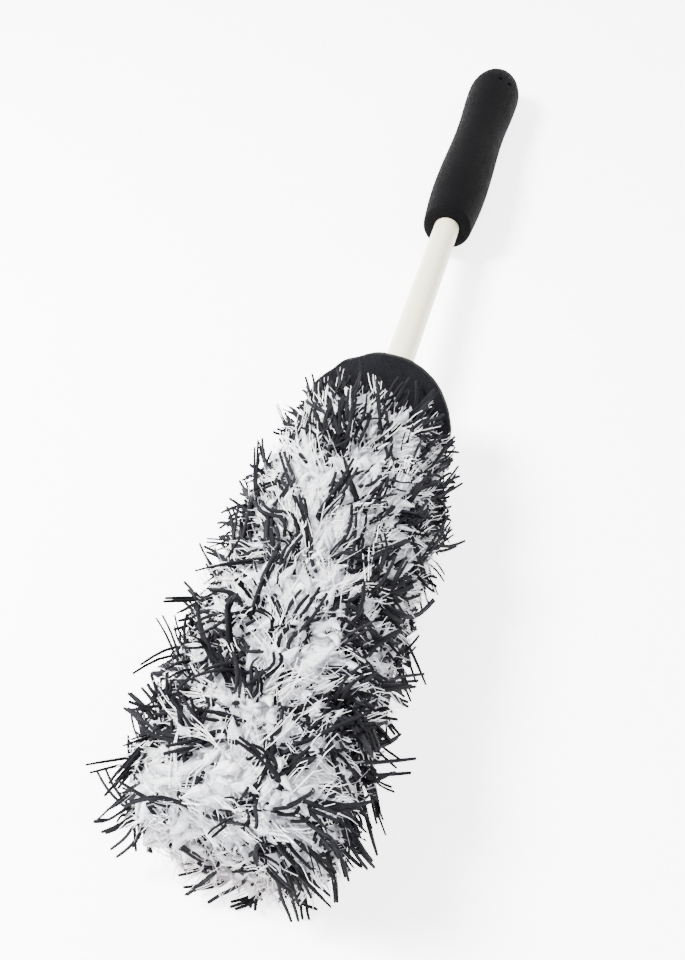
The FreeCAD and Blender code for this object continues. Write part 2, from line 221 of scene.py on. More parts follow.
def bumpFrom(tree, height, strength, distance):
    inputs = {"Strength": strength, "Distance": distance, "Height": height}
    return addNode(tree, "ShaderNodeBump", None, inputs).outputs[0]


# effects that several materials share


def newEffect(name, inputs, outputs):
    tree = bpy.data.node_groups.new(name, "ShaderNodeTree")
    for label, kind, value in inputs:
        socket = tree.interface.new_socket(label, in_out="INPUT", socket_type="NodeSocket" + kind)
        socket.default_value = value
    for label, kind in outputs:
        tree.interface.new_socket(label, in_out="OUTPUT", socket_type="NodeSocket" + kind)
    return tree, tree.nodes.new("NodeGroupInput").outputs, tree.nodes.new("NodeGroupOutput").inputs


def noiseAt(tree, where, scale, detail=2.0, rough=0.5, distortion=0.0):
    inputs = {
        "Vector": where, "Scale": scale, "Detail": detail, "Roughness": rough, "Distortion": distortion
    }
    return addNode(tree, "ShaderNodeTexNoise", None, inputs)


def cellsAt(tree, where, scale):
    inputs = {"Vector": where, "Scale": scale}
    return addNode(tree, "ShaderNodeTexVoronoi", dict(feature="F1"), inputs).outputs["Distance"]


def mixColour(tree, share, first, second, blend="MIX"):
    settings = dict(data_type="RGBA", blend_type=blend)
    return addNode(tree, "ShaderNodeMix", settings, {0: share, 6: first, 7: second}).outputs[2]


def buildFoamGrain():
    # fine pores and a slow mottling, for the moulded grip and the die-cut foam
    tree, given, result = newEffect(
        "foamGrain",
        [
            ("Light", "Color", (0.05, 0.05, 0.05, 1)), ("Dark", "Color", (0.02, 0.02, 0.02, 1)),
            ("Grain Scale", "Float", 2500.0), ("Depth", "Float", 0.0002),
            ("Mottle Scale", "Float", 90.0),
        ],
        [("Colour", "Color"), ("Normal", "Vector"), ("Roughness", "Float")],
    )
    where = objectPlace(tree)
    grain = noiseAt(tree, where, given["Grain Scale"], 3.0, 0.65).outputs["Fac"]
    pores = cellsAt(tree, where, given["Grain Scale"])
    mottle = noiseAt(tree, where, given["Mottle Scale"], 4.0, 0.6).outputs["Fac"]
    share = calc(tree, "MULTIPLY_ADD", grain, 0.75, calc(tree, "MULTIPLY", mottle, 0.45))
    share = remap(tree, share, 0.36, 0.86)
    tree.links.new(mixColour(tree, share, given["Dark"], given["Light"]), result["Colour"])
    height = calc(tree, "ADD", grain, calc(tree, "MULTIPLY", pores, 0.6))
    tree.links.new(bumpFrom(tree, height, 0.55, given["Depth"]), result["Normal"])
    tree.links.new(remap(tree, mottle, 0.3, 0.7, 0.72, 0.9), result["Roughness"])
    return tree


def buildFibreStreaks():
    # long fine streaks that follow each lock, from its own coordinates along and around, with a painted
    # pinkish shade multiplied in low down near the floor
    tree, given, result = newEffect(
        "fibreStreaks",
        [
            ("Light", "Color", (0.9, 0.9, 0.9, 1)), ("Dark", "Color", (0.7, 0.7, 0.7, 1)),
            ("Streaks", "Float", 14.0), ("Depth", "Float", 0.0004), ("Contrast", "Float", 1.0),
            ("Spread", "Float", 0.3), ("Painted Low Shade", "Color", (1, 1, 1, 1)),
        ],
        [("Colour", "Color"), ("Normal", "Vector")],
    )
    around, along, tint = (
        addNode(tree, "ShaderNodeAttribute", dict(attribute_name=label)).outputs["Fac"]
        for label in ("around", "along", "tint")
    )
    turn = calc(tree, "MULTIPLY", around, 2 * math.pi)
    apart = calc(tree, "MULTIPLY", tint, 37.0)  # no two strands read the same part of the noise
    place = addNode(
        tree, "ShaderNodeCombineXYZ", None,
        {
            "X": calc(tree, "MULTIPLY_ADD", calc(tree, "COSINE", turn), 0.5, apart),
            "Y": calc(tree, "MULTIPLY", calc(tree, "SINE", turn), 0.5),
            "Z": calc(tree, "MULTIPLY", along, 0.35),
        },
    ).outputs[0]
    streak = noiseAt(tree, place, given["Streaks"], 3.0, 0.6, 0.35).outputs["Fac"]
    fromMiddle = calc(tree, "SUBTRACT", streak, 0.5)
    share = calc(tree, "MULTIPLY_ADD", fromMiddle, given["Contrast"], 0.5, clamp=True)
    fromMiddle = calc(tree, "SUBTRACT", tint, 0.5)
    share = calc(tree, "MULTIPLY_ADD", fromMiddle, given["Spread"], share, clamp=True)
    colour = mixColour(tree, share, given["Dark"], given["Light"])
    where = objectPlace(tree)
    height = addNode(tree, "ShaderNodeSeparateXYZ", None, {0: where}).outputs[2]
    # painted shade: below 4 cm height the colour is multiplied towards the shade tint, fully so below
    # 1.2 cm
    paintedShade = mixColour(tree, remap(tree, height, 0.012, 0.04), given["Painted Low Shade"], (1, 1, 1, 1))
    tree.links.new(mixColour(tree, 1.0, colour, paintedShade, "MULTIPLY"), result["Colour"])
    tree.links.new(bumpFrom(tree, streak, 0.8, given["Depth"]), result["Normal"])
    return tree


foamGrain = buildFoamGrain()
fibreStreaks = buildFibreStreaks()


def useEffect(tree, effect, values):
    return addNode(tree, "ShaderNodeGroup", dict(node_tree=effect), values).outputs


# materials


def makeFoamMaterial(name, light, dark, grainScale, depth, mottleScale, sheen):
    material, tree, shader = newMaterial(name)
    grain = useEffect(
        tree, foamGrain,
        {
            "Light": light, "Dark": dark, "Grain Scale": grainScale, "Depth": depth,
            "Mottle Scale": mottleScale,
        },
    )
    setShader(shader, {"Sheen Weight": sheen, "Sheen Roughness": 0.5, "Specular IOR Level": 0.02})
    plugIn(tree, shader, "Base Color", grain["Colour"])
    plugIn(tree, shader, "Normal", grain["Normal"])
    plugIn(tree, shader, "Roughness", grain["Roughness"])
    return material


def makeRodMaterial():
    # milky plastic with a faint haze and hairline scratches along the rod
    material, tree, shader = newMaterial("rodPlastic")
    where = objectPlace(tree)
    stretched = addNode(tree, "ShaderNodeMapping", None, {"Vector": where, "Scale": (1.0, 0.03, 1.0)})
    haze = noiseAt(tree, where, 60.0, 3.0).outputs["Fac"]
    scratch = noiseAt(tree, stretched.outputs[0], 2600.0, 2.0, 0.6).outputs["Fac"]
    baseColour = mixColour(
        tree, remap(tree, haze, 0.3, 0.7), (0.66, 0.615, 0.43, 1), (0.59, 0.57, 0.42, 1)
    )
    plugIn(tree, shader, "Base Color", baseColour)
    plugIn(tree, shader, "Roughness", remap(tree, scratch, 0.35, 0.7, 0.3, 0.48))
    plugIn(tree, shader, "Normal", bumpFrom(tree, scratch, 0.12, 0.0001))
    setShader(
        shader,
        {
            "Subsurface Weight": 0.35,
            "Subsurface Radius": (1.0, 0.8, 0.5),
            "Subsurface Scale": 0.003,
            "IOR": 1.5,
        },
    )
    return material


def makeStreakMaterial(name, light, dark, streaks, depth, contrast, roughness, spread, paintedLowShade):
    material, tree, shader = newMaterial(name)
    fibre = useEffect(
        tree, fibreStreaks,
        {
            "Light": light, "Dark": dark, "Streaks": streaks, "Depth": depth, "Contrast": contrast,
            "Spread": spread, "Painted Low Shade": paintedLowShade,
        },
    )
    plugIn(tree, shader, "Base Color", fibre["Colour"])
    plugIn(tree, shader, "Normal", fibre["Normal"])
    setShader(shader, {"Roughness": roughness, "Specular IOR Level": 0.08})
    return material


def makeFleeceMaterial():
    # the deep fleece below the locks: matted wool
    material, tree, shader = newMaterial("fleeceDeep")
    where = objectPlace(tree)
    matted = noiseAt(tree, where, 700.0, 4.0, 0.65, 0.8).outputs["Fac"]
    lumps = noiseAt(tree, where, 130.0, 3.0).outputs["Fac"]
    share = calc(tree, "MULTIPLY_ADD", matted, 0.6, calc(tree, "MULTIPLY", lumps, 0.5), clamp=True)
    baseColour = mixColour(
        tree, remap(tree, share, 0.3, 0.8), (0.6, 0.63, 0.68, 1), (0.84, 0.86, 0.9, 1)
    )
    plugIn(tree, shader, "Base Color", baseColour)
    plugIn(tree, shader, "Normal", bumpFrom(tree, matted, 0.9, 0.0008))
    setShader(
        shader,
        {
            "Roughness": 0.95,
            "Sheen Weight": 0.3,
            "Sheen Roughness": 0.5,
            "Specular IOR Level": 0.2,
        },
    )
    return material


def makeKnitMaterial():
    # off-white stretch knit: wales and courses, with a little fluff
    material, tree, shader = newMaterial("knitWhite")
    where = objectPlace(tree)
    fluff = noiseAt(tree, where, 1500.0, 3.0, 0.6).outputs["Fac"]
    rows = addNode(
        tree, "ShaderNodeTexWave", dict(wave_type="BANDS", bands_direction="Y"),
        {"Vector": where, "Scale": 290.0, "Distortion": 2.5, "Detail": 2.0, "Detail Scale": 3.0},
    ).outputs["Fac"]
    share = calc(tree, "MULTIPLY_ADD", rows, 0.45, calc(tree, "MULTIPLY", fluff, 0.55), clamp=True)
    baseColour = mixColour(
        tree, share, (0.5, 0.5, 0.49, 1), (0.82, 0.82, 0.8, 1)
    )
    plugIn(tree, shader, "Base Color", baseColour)
    plugIn(tree, shader, "Normal", bumpFrom(tree, share, 0.6, 0.0003))
    setShader(
        shader,
        {
            "Roughness": 0.92,
            "Sheen Weight": 0.15,
            "Sheen Roughness": 0.5,
            "Specular IOR Level": 0.15,
        },
    )
    return material


def makeCapMaterial():
    # grey moulded plastic with a fine eroded grain
    material, tree, shader = newMaterial("capPlastic")
    where = objectPlace(tree)
    grain = noiseAt(tree, where, 1800.0, 2.0).outputs["Fac"]
    cloud = noiseAt(tree, where, 150.0, 2.0).outputs["Fac"]
    baseColour = mixColour(
        tree, cloud, (0.2, 0.2, 0.21, 1), (0.28, 0.28, 0.29, 1)
    )
    plugIn(tree, shader, "Base Color", baseColour)
    plugIn(tree, shader, "Roughness", remap(tree, grain, 0.3, 0.7, 0.4, 0.6))
    plugIn(tree, shader, "Normal", bumpFrom(tree, grain, 0.3, 0.0001))
    return material


def makeElasticMaterial():
    # braided cover over the rubber
    material, tree, shader = newMaterial("elasticCord")
    where = objectPlace(tree)
    braid = cellsAt(tree, where, 1600.0)
    baseColour = mixColour(
        tree, braid, (0.75, 0.74, 0.72, 1), (0.3, 0.3, 0.3, 1)
    )
    plugIn(tree, shader, "Base Color", baseColour)
    plugIn(tree, shader, "Normal", bumpFrom(tree, braid, 0.7, 0.0002))
    setShader(shader, {"Roughness": 0.85, "Specular IOR Level": 0.2})
    return material


knitWhite = makeKnitMaterial()
elasticCord = makeElasticMaterial()
capPlastic = makeCapMaterial()
gripRubber = makeFoamMaterial(
    "gripRubber", (0.004, 0.0039, 0.0043, 1), (0.0006, 0.0006, 0.0008, 1), 2600.0, 0.00025, 110.0, 0.005
)
guardFoam = makeFoamMaterial(
    "guardFoam", (0.0085, 0.0087, 0.0105, 1), (0.0014, 0.0014, 0.0018, 1), 1800.0, 0.00035, 140.0, 0.01
)
coreFoam = makeFoamMaterial(
    "coreFoam", (0.66, 0.64, 0.56, 1), (0.42, 0.4, 0.34, 1), 1400.0, 0.0005, 60.0, 0.1
)
rodPlastic = makeRodMaterial()
fleeceDeep = makeFleeceMaterial()
# pinkish grey painted shade for the low sides of the white pile, near the floor
paintedShadePink = (0.83, 0.76, 0.745, 1)
lockWhite = makeStreakMaterial(
    "lockWhite", (0.97, 0.975, 0.99, 1), (0.5, 0.53, 0.6, 1), 16.0, 0.0009, 2.6, 0.9, 0.3, paintedShadePink
)
fuzzWhite = makeStreakMaterial(
    "fuzzWhite", (0.98, 0.985, 0.995, 1), (0.36, 0.38, 0.44, 1), 5.0, 0.0001, 0.8, 0.8, 1.3, paintedShadePink
)
filamentWhite = makeStreakMaterial(
    "filamentWhite", (1.0, 1.0, 1.0, 1), (0.85, 0.87, 0.9, 1), 4.0, 0.0001, 1.0, 0.45, 0.3, paintedShadePink
)
strandBlack = makeStreakMaterial(
    "strandBlack", (0.0125, 0.013, 0.016, 1), (0.0004, 0.0004, 0.0006, 1), 14.0, 0.0003, 2.6, 0.75, 0.4,
    (1, 1, 1, 1)
)
print("stage: materials")


# turned pieces


def linkPiece(name, mesh, material):
    piece = bpy.data.objects.new(name, mesh)
    bpy.context.scene.collection.objects.link(piece)
    mesh.materials.append(material)
    for face in mesh.polygons:
        face.use_smooth = True
    return piece


def ringFaces(rings, around, closed=True, flipped=False):
    faces = []
    for ring in range(rings if closed else rings - 1):
        here, there = ring * around, (ring + 1) % rings * around
        for step in range(around):
            nextStep = (step + 1) % around
            corners = [here + step, here + nextStep, there + nextStep, there + step]
            if flipped:
                corners = [corners[0], corners[3], corners[2], corners[1]]
            faces.append(tuple(corners))
    return faces


def turnedMesh(name, outline, around, shape=None, closed=True):
    # outline is (along, radius) points; closed joins the last to the first
    mesh = bpy.data.meshes.new(name)
    verts = []
    for along, radius in outline:
        for step in range(around):
            angle = 2 * math.pi * step / around
            point = onBrush(along, radius, angle)
            verts.append(shape(point, along, radius, angle) if shape else point)
    mesh.from_pydata(verts, [], ringFaces(len(outline), around, closed))
    mesh.update()
    return mesh


def faceOutwards(mesh):
    work = bmesh.new()
    work.from_mesh(mesh)
    bmesh.ops.remove_doubles(work, verts=work.verts, dist=1e-6)
    bmesh.ops.recalc_face_normals(work, faces=work.faces)
    work.to_mesh(mesh)
    work.free()


def turnedPiece(name, outline, around, material, shape=None):
    piece = linkPiece(name, turnedMesh(name, outline, around, shape), material)
    faceOutwards(piece.data)
    return piece


def arcPoints(centreAlong, centreRadius, size, fromTurn, toTurn, count):
    points = []
    for step in range(count):
        turn = fromTurn + (toTurn - fromTurn) * step / (count - 1)
        points.append((centreAlong + size * math.cos(turn), centreRadius + size * math.sin(turn)))
    return points


def flatEnd(along, radius, steps):
    # in from a rounded edge to just off the axis
    return [(along, radius * (1 - step / steps) + 1e-5) for step in range(1, steps + 1)]


def fleeceOutline():
    # from the neck over the shoulder, along the head and round the tip to the axis
    radius = head["fleeceRadius"]
    tipFlat = head["tip"] - head["tipInset"]
    roundOff = head["tipRound"]
    shoulderRound = head["shoulderRound"]
    outline = [(head["shoulder"] - 0.001, head["backingRadius"] + 0.0001)]
    outline += arcPoints(
        head["neck"] + shoulderRound, radius - head["neckSlim"] - shoulderRound, shoulderRound,
        math.pi * 1.05, math.pi / 2, 9,
    )
    straightFrom = head["neck"] + shoulderRound
    straightTo = tipFlat - roundOff
    steps = 110
    for step in range(1, steps):
        along = straightFrom + (straightTo - straightFrom) * step / steps
        grown = min(1.0, (along - head["neck"]) / head["neckRun"])
        outline.append((along, radius - head["neckSlim"] * (1 - grown * grown * (3 - 2 * grown))))
    outline += arcPoints(straightTo, radius - roundOff, roundOff, math.pi / 2, 0, 16)
    return outline + flatEnd(tipFlat, radius - roundOff, 8)


def lumpyFleece(point, along, radius, angle):
    outward = upward * math.cos(angle) + sideways * math.sin(angle)
    deep = min(1.0, max(0.0, (radius - head["backingRadius"]) / 0.004))
    if along > head["tip"] - 0.02:
        outward = (outward * min(1.0, radius / 0.02) + tipward * 0.6).normalized()
        deep = 1.0
    lump = noise.fractal(point * head["lumpScale"], 1.0, 2.0, 3)
    moved = point + outward * lump * head["lumpHeight"] * deep
    moved.z = max(moved.z, head["floorGap"])
    return moved


fleeceSkin = turnedMesh("fleeceSkin", fleeceOutline(), 180, lumpyFleece, closed=False)
faceOutwards(fleeceSkin)
print("stage: fleece skin", len(fleeceSkin.polygons))


# the pile's strands, locks and fuzz, grown by one tree with different values


# what is added to a layer's seed for each of its random values
draws = dict(
    lay=11, length=23, bow=37, sway=43, tint=51, beside=61, ownLength=67, astray=71, ownTint=73
)


def buildStrandTree():
    tree, given = newTree(
        "pileStrands",
        [
            ("Density", "Float", 30000.0), ("Seed", "Int", 1),
            ("Length", "Float", 0.018), ("Length Spread", "Float", 0.3), ("Neck Length", "Float", 0.62),
            ("Thickness", "Float", 0.0012), ("Flatness", "Float", 1.0), ("Bulge", "Float", 0.0),
            ("Taper", "Float", 0.3), ("Sink", "Float", 0.001),
            ("Lift", "Float", 0.6), ("Sideways", "Float", 0.6),
            ("Back At Neck", "Float", 1.0), ("Back At Tip", "Float", -0.3),
            ("Disorder", "Float", 0.3), ("Clumping", "Float", 0.4), ("Clump Scale", "Float", 60.0),
            ("Curl", "Float", 0.3), ("Droop", "Float", 0.2), ("Sway", "Float", 0.09),
            ("Hug", "Float", 1.0), ("Hug Radius", "Float", 0.028),
            ("Patchiness", "Float", 0.5), ("Patch Scale", "Float", 60.0), ("Centre Share", "Float", 1.0),
            ("Tip Share", "Float", 1.0), ("Cluster", "Int", 1), ("Cluster Width", "Float", 0.0),
            ("Segments", "Int", 9), ("Sides", "Int", 6),
            ("Tip Point", "Vector", None), ("Gripward", "Vector", None), ("Head Length", "Float", 0.16),
            ("Guard Point", "Vector", None), ("Guard Facing", "Vector", None),
            ("Guard Radius", "Float", 0.03), ("Guard Gap", "Float", 0.003),
            ("Floor Height", "Float", 0.0),
            ("Material", "Material", None),
        ],
    )
    position = addNode(tree, "GeometryNodeInputPosition").outputs[0]
    patches = noiseAt(tree, position, given["Patch Scale"], 2.0).outputs[0]
    bare = calc(tree, "SUBTRACT", 1.0, given["Patchiness"])
    thinned = remap(tree, patches, 0.42, 0.58, bare, 1.0, smooth=True)
    sideX = addNode(tree, "ShaderNodeSeparateXYZ", None, {0: position}).outputs[0]
    offRidge = remap(tree, calc(tree, "ABSOLUTE", sideX), 0.004, 0.02, given["Centre Share"], 1.0)
    thinned = calc(tree, "MULTIPLY", thinned, offRidge)
    fromTip = vec(tree, "SUBTRACT", position, given["Tip Point"])
    passed = vec(tree, "DOT_PRODUCT", fromTip, given["Gripward"])
    share = calc(tree, "DIVIDE", passed, given["Head Length"], clamp=True)
    thinned = calc(tree, "MULTIPLY", thinned, remap(tree, share, 0.04, 0.12, given["Tip Share"], 1.0))
    scatter = addNode(
        tree, "GeometryNodeDistributePointsOnFaces", None,
        {
            "Mesh": given["Geometry"], "Seed": given["Seed"],
            "Density": calc(tree, "MULTIPLY", given["Density"], thinned),
        },
    )
    normal = scatter.outputs["Normal"]

    def randomVector(offset):
        return addNode(
            tree, "FunctionNodeRandomValue", dict(data_type="FLOAT_VECTOR"),
            {0: (-1, -1, -1), 1: (1, 1, 1), "Seed": calc(tree, "ADD", given["Seed"], offset)},
        ).outputs[0]

    def randomNumber(offset):
        return addNode(
            tree, "FunctionNodeRandomValue", dict(data_type="FLOAT"),
            {2: 0.0, 3: 1.0, "Seed": calc(tree, "ADD", given["Seed"], offset)},
        ).outputs[1]

    def storedVector(label):
        return addNode(
            tree, "GeometryNodeInputNamedAttribute", dict(data_type="FLOAT_VECTOR"), {"Name": label}
        ).outputs[0]

    # the lay: up from the skin, away from the upper ridge, and towards the guard near the neck
    back = remap(tree, share, 0.0, 1.0, given["Back At Tip"], given["Back At Neck"])
    raised = remap(tree, share, 0.25, 0.8, 1.0, 2.0)
    across = vec(tree, "CROSS_PRODUCT", given["Gripward"], normal)
    side = remap(tree, sideX, -0.014, 0.014, -1.0, 1.0)
    clump = noiseAt(tree, position, given["Clump Scale"], 1.0).outputs[1]
    clump = vec(tree, "SUBTRACT", clump, (0.5, 0.5, 0.5))
    lay = total(
        tree,
        [
            vec(tree, "SCALE", normal, scale=calc(tree, "MULTIPLY", given["Lift"], raised)),
            vec(tree, "SCALE", across, scale=calc(tree, "MULTIPLY", side, given["Sideways"])),
            vec(tree, "SCALE", given["Gripward"], scale=back),
            vec(tree, "SCALE", randomVector(draws["lay"]), scale=given["Disorder"]),
            vec(tree, "SCALE", clump, scale=calc(tree, "MULTIPLY", given["Clumping"], 4.0)),
        ],
    )
    shortest = calc(tree, "SUBTRACT", 1.0, given["Length Spread"])
    longest = calc(tree, "ADD", 1.0, given["Length Spread"])
    spread = remap(tree, randomNumber(draws["length"]), 0.0, 1.0, shortest, longest)
    nearNeck = remap(tree, share, 0.78, 1.0, 1.0, given["Neck Length"])
    length = calc(tree, "MULTIPLY", calc(tree, "MULTIPLY", given["Length"], spread), nearNeck)
    lay = vec(tree, "SCALE", vec(tree, "NORMALIZE", lay), scale=length)
    curled = calc(tree, "MULTIPLY", length, given["Curl"])
    drooped = calc(tree, "MULTIPLY", length, given["Droop"])
    swayed = calc(tree, "MULTIPLY", length, given["Sway"])
    bow = vec(
        tree, "ADD",
        vec(tree, "SCALE", randomVector(draws["bow"]), scale=curled),
        vec(tree, "SCALE", (0, 0, -1), scale=drooped),
    )
    sway = vec(tree, "SCALE", randomVector(draws["sway"]), scale=swayed)
    root = vec(tree, "SUBTRACT", position, vec(tree, "SCALE", normal, scale=given["Sink"]))

    stored = [
        ("root", "FLOAT_VECTOR", root), ("lay", "FLOAT_VECTOR", lay), ("bow", "FLOAT_VECTOR", bow),
        ("sway", "FLOAT_VECTOR", sway), ("skinNormal", "FLOAT_VECTOR", normal),
        ("tint", "FLOAT", randomNumber(draws["tint"])),
    ]
    points = storeValues(tree, scatter.outputs["Points"], stored)
    # each point becomes a small cluster of strands that share one lay
    points = addNode(
        tree, "GeometryNodeDuplicateElements", dict(domain="POINT"),
        {"Geometry": points, "Amount": given["Cluster"]},
    ).outputs[0]
    beside = vec(tree, "SCALE", randomVector(draws["beside"]), scale=given["Cluster Width"])
    lengthened = remap(tree, randomNumber(draws["ownLength"]), 0.0, 1.0, 0.82, 1.15)
    stray = calc(tree, "MULTIPLY", given["Cluster Width"], 0.9)
    astray = vec(tree, "SCALE", randomVector(draws["astray"]), scale=stray)
    ownRoot = vec(tree, "ADD", storedVector("root"), beside)
    ownLay = vec(tree, "ADD", vec(tree, "SCALE", storedVector("lay"), scale=lengthened), astray)
    clustered = [
        ("root", "FLOAT_VECTOR", ownRoot), ("lay", "FLOAT_VECTOR", ownLay),
        ("tint", "FLOAT", randomNumber(draws["ownTint"])),
    ]
    points = storeValues(tree, points, clustered)
    line = addNode(tree, "GeometryNodeCurvePrimitiveLine", None, {"End": (0, 0, 1)}).outputs[0]
    line = addNode(
        tree, "GeometryNodeResampleCurve", None,
        {"Curve": line, "Count": calc(tree, "ADD", given["Segments"], 1.0)},
    ).outputs[0]
    placed = addNode(
        tree, "GeometryNodeInstanceOnPoints", None, {"Points": points, "Instance": line}
    ).outputs[0]
    curves = addNode(tree, "GeometryNodeRealizeInstances", None, {"Geometry": placed}).outputs[0]

    factor = addNode(tree, "GeometryNodeSplineParameter").outputs["Factor"]
    path = total(
        tree,
        [
            storedVector("root"),
            vec(tree, "SCALE", storedVector("lay"), scale=factor),
            vec(tree, "SCALE", storedVector("bow"), scale=calc(tree, "MULTIPLY", factor, factor)),
            vec(
                tree, "SCALE", storedVector("sway"),
                scale=calc(tree, "SINE", calc(tree, "MULTIPLY", factor, 2 * math.pi)),
            ),
        ],
    )
    # long strands bend over and follow the head
    fromEnd = vec(tree, "SUBTRACT", path, given["Tip Point"])
    inward = vec(tree, "DOT_PRODUCT", fromEnd, given["Gripward"])
    outward = vec(tree, "SUBTRACT", fromEnd, vec(tree, "SCALE", given["Gripward"], scale=inward))
    beyond = calc(
        tree, "MAXIMUM", calc(tree, "SUBTRACT", vec(tree, "LENGTH", outward), given["Hug Radius"]), 0.0
    )
    past = calc(tree, "MAXIMUM", calc(tree, "SUBTRACT", 0.004, inward), 0.0)
    bent = calc(tree, "SUBTRACT", 1.0, given["Hug"])
    path = total(
        tree,
        [
            path,
            vec(
                tree, "SCALE", vec(tree, "NORMALIZE", outward),
                scale=calc(tree, "MULTIPLY", calc(tree, "MULTIPLY", beyond, bent), -1.0),
            ),
            vec(tree, "SCALE", given["Gripward"], scale=calc(tree, "MULTIPLY", past, bent)),
        ],
    )
    # lean against the guard, where it is in the way
    fromGuard = vec(tree, "SUBTRACT", path, given["Guard Point"])
    ahead = vec(tree, "DOT_PRODUCT", fromGuard, given["Guard Facing"])
    sunk = calc(tree, "MAXIMUM", calc(tree, "SUBTRACT", given["Guard Gap"], ahead), 0.0)
    inDisc = vec(tree, "SUBTRACT", fromGuard, vec(tree, "SCALE", given["Guard Facing"], scale=ahead))
    offCentre = vec(tree, "LENGTH", inDisc)
    reach = calc(tree, "ADD", given["Guard Radius"], 0.004)
    held = remap(tree, offCentre, given["Guard Radius"], reach, 1.0, 0.0)
    pushed = vec(tree, "SCALE", given["Guard Facing"], scale=calc(tree, "MULTIPLY", sunk, held))
    path = vec(tree, "ADD", path, pushed)
    # lie flat on the table
    parts = addNode(tree, "ShaderNodeSeparateXYZ", None, {0: path}).outputs
    lowest = calc(tree, "MULTIPLY_ADD", given["Thickness"], 0.5, given["Floor Height"])
    path = addNode(
        tree, "ShaderNodeCombineXYZ", None,
        {"X": parts[0], "Y": parts[1], "Z": calc(tree, "MAXIMUM", parts[2], lowest)},
    ).outputs[0]
    curves = addNode(
        tree, "GeometryNodeSetPosition", None, {"Geometry": curves, "Position": path}
    ).outputs[0]
    curves = addNode(
        tree, "GeometryNodeSetCurveNormal", dict(mode="FREE"),
        {"Curve": curves, "Normal": storedVector("skinNormal")},
    ).outputs[0]
    curves = storeValues(tree, curves, [("along", "FLOAT", factor)])
    # thickness along the strand: even with a blunt end, or swelling like a leaf
    even = calc(
        tree, "SUBTRACT", 1.0, calc(tree, "MULTIPLY", given["Taper"], calc(tree, "POWER", factor, 3.0))
    )
    swell = calc(tree, "SINE", calc(tree, "MULTIPLY", calc(tree, "POWER", factor, 0.8), math.pi))
    swell = calc(tree, "MAXIMUM", swell, 0.06)
    width = calc(
        tree, "ADD",
        calc(tree, "MULTIPLY", even, calc(tree, "SUBTRACT", 1.0, given["Bulge"])),
        calc(tree, "MULTIPLY", swell, given["Bulge"]),
    )
    halfWidth = calc(tree, "MULTIPLY", width, calc(tree, "MULTIPLY", given["Thickness"], 0.5))
    ring = addNode(
        tree, "GeometryNodeCurvePrimitiveCircle", None, {"Resolution": given["Sides"], "Radius": 1.0}
    ).outputs[0]
    turn = addNode(tree, "GeometryNodeSplineParameter").outputs["Factor"]
    ring = storeValues(tree, ring, [("around", "FLOAT", turn)])
    squash = addNode(
        tree, "ShaderNodeCombineXYZ", None, {"X": given["Flatness"], "Y": 1.0, "Z": 1.0}
    ).outputs[0]
    ring = addNode(tree, "GeometryNodeTransform", None, {"Geometry": ring, "Scale": squash}).outputs[0]
    tubes = addNode(
        tree, "GeometryNodeCurveToMesh", None,
        {"Curve": curves, "Profile Curve": ring, "Scale": halfWidth, "Fill Caps": True},
    ).outputs[0]
    tubes = addNode(tree, "GeometryNodeSetShadeSmooth", None, {"Geometry": tubes}).outputs[0]
    finishTree(tree, tubes, given["Material"])
    return tree


